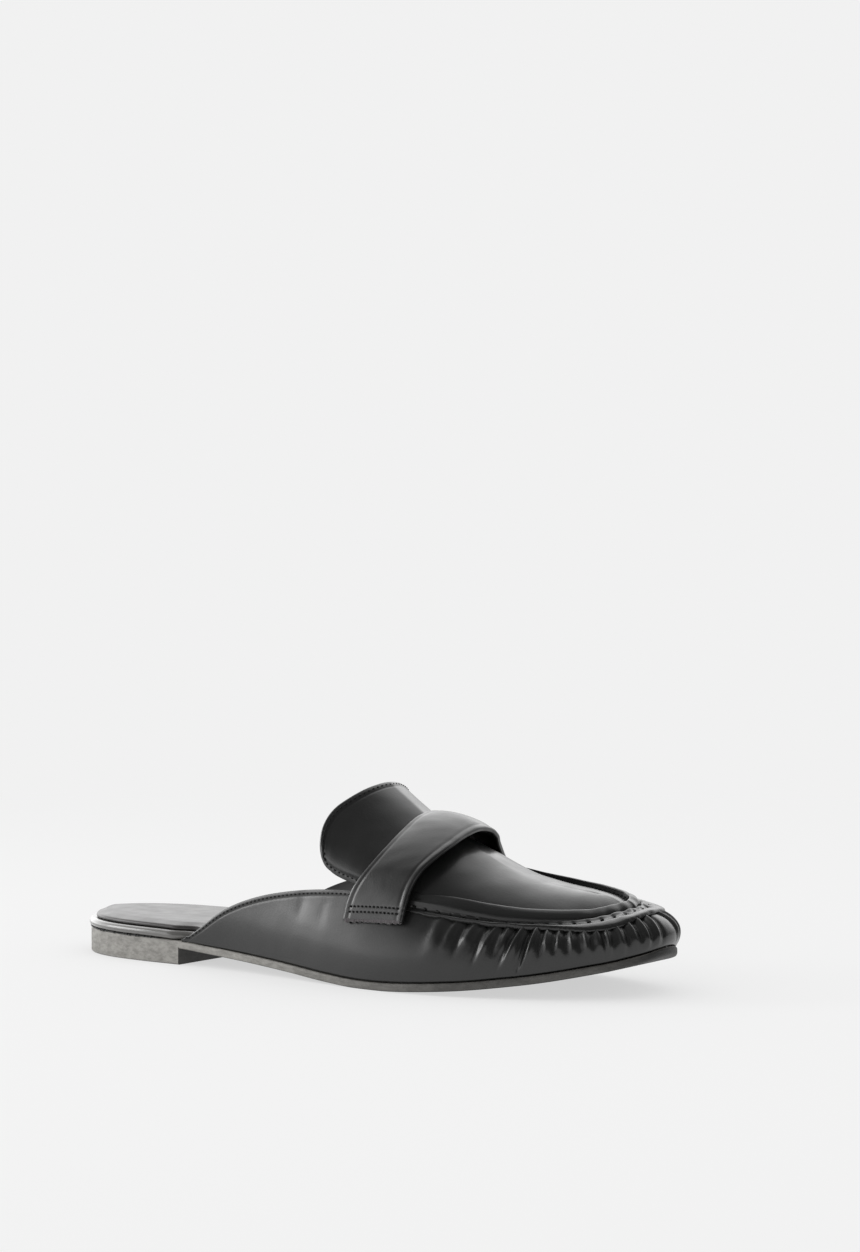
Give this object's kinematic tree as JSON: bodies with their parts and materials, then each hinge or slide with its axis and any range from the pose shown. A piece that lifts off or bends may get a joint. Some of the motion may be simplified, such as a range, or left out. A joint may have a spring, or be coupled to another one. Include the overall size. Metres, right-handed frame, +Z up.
{
  "type": "loafer mule",
  "caption": "Backless leather loafer mule with a gathered vamp, raised apron seam, rounded tongue and wide saddle strap on a low flat rubber sole; right shoe.",
  "frame": {"origin": "on the floor under the middle of the shoe's box, which is the plane that heel and forefoot rest on", "axes": "+X towards the toe, +Y towards the inner (medial) side, +Z up"},
  "size_m": [0.2634, 0.0838, 0.0726],
  "materials": {
    "sole_rubber": "matt moulded rubber, scuffed and greyish on the heel block",
    "footbed_wrap": "soft synthetic leather rolled over the footbed's edge",
    "insole_lining": "smooth satin lining over thin foam",
    "upper_leather": "smooth black leather with a low gloss and fine grain",
    "seam_leather": "the upper's leather, turned and stitched",
    "strap_leather": "the upper's leather, two layers with a burnished edge"
  },
  "bodies": {
    "root": {"outsole": "sole_rubber", "footbed": "footbed_wrap", "insole": "insole_lining", "upper": "upper_leather", "apron_seam": "seam_leather", "saddle_strap": "strap_leather"}
  },
  "joints": []
}
